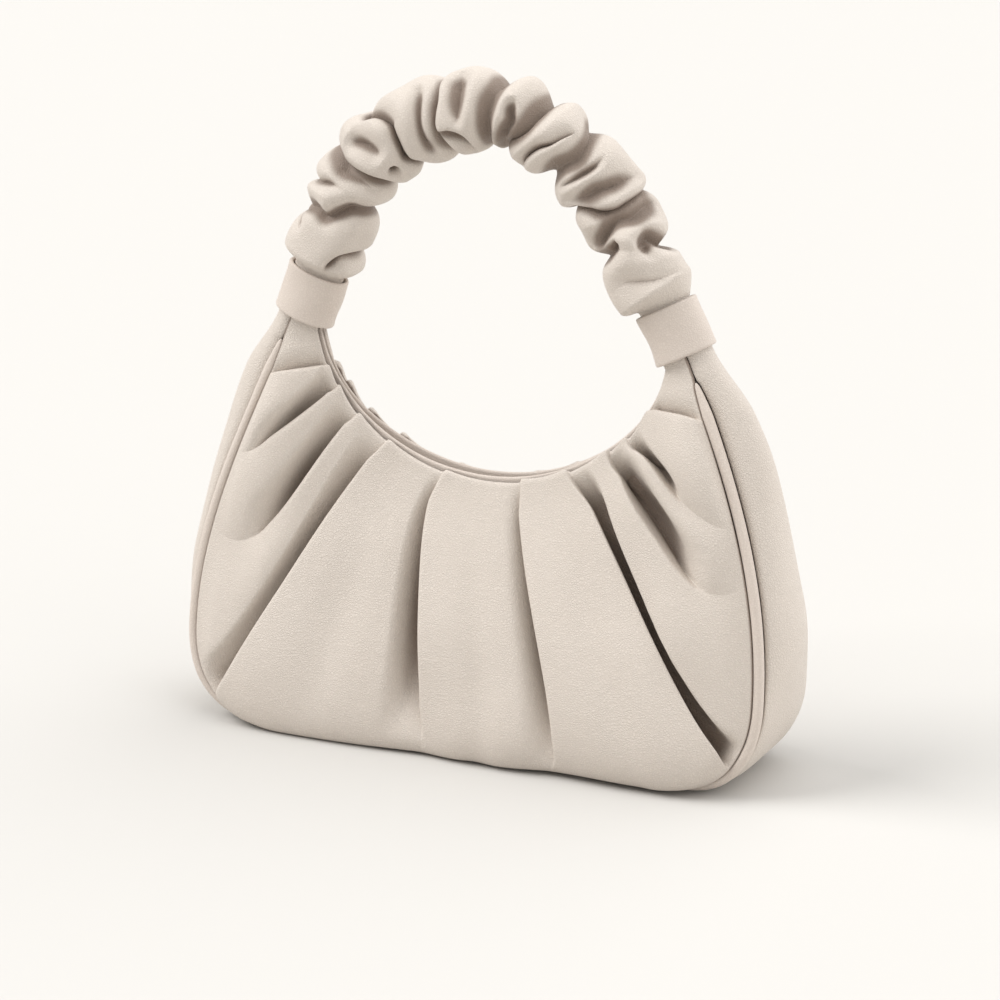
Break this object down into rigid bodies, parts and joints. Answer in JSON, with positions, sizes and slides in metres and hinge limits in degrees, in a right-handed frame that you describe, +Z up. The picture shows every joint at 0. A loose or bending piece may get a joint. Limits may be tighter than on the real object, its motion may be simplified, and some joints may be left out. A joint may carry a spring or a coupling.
{
  "type": "ruched hobo bag",
  "caption": "Crescent shoulder bag in pale grained leather with deep folds, piped side seams, an open mouth, oval collars and a thick gathered handle.",
  "frame": {"origin": "on the surface that the bag stands on, under the middle of its box", "axes": "+Z up, +X along the bag's length to the viewer's right, and the front panel faces -Y"},
  "size_m": [0.2721, 0.0804, 0.2827],
  "materials": {
    "panel_leather": "soft ivory leather with a fine pebbled grain and a satin sheen",
    "trim_leather": "the same ivory leather, pulled smooth, with a satin sheen",
    "handle_leather": "soft ivory leather, gathered, with a fine pebbled grain and a satin sheen"
  },
  "bodies": {
    "root": {"front_panel": "panel_leather", "back_panel": "panel_leather", "gusset": "panel_leather", "front_piping": "trim_leather", "back_piping": "trim_leather", "front_mouth_band": "trim_leather", "back_mouth_band": "trim_leather", "left_collar": "trim_leather", "right_collar": "trim_leather", "handle_sleeve": "handle_leather"}
  },
  "joints": []
}
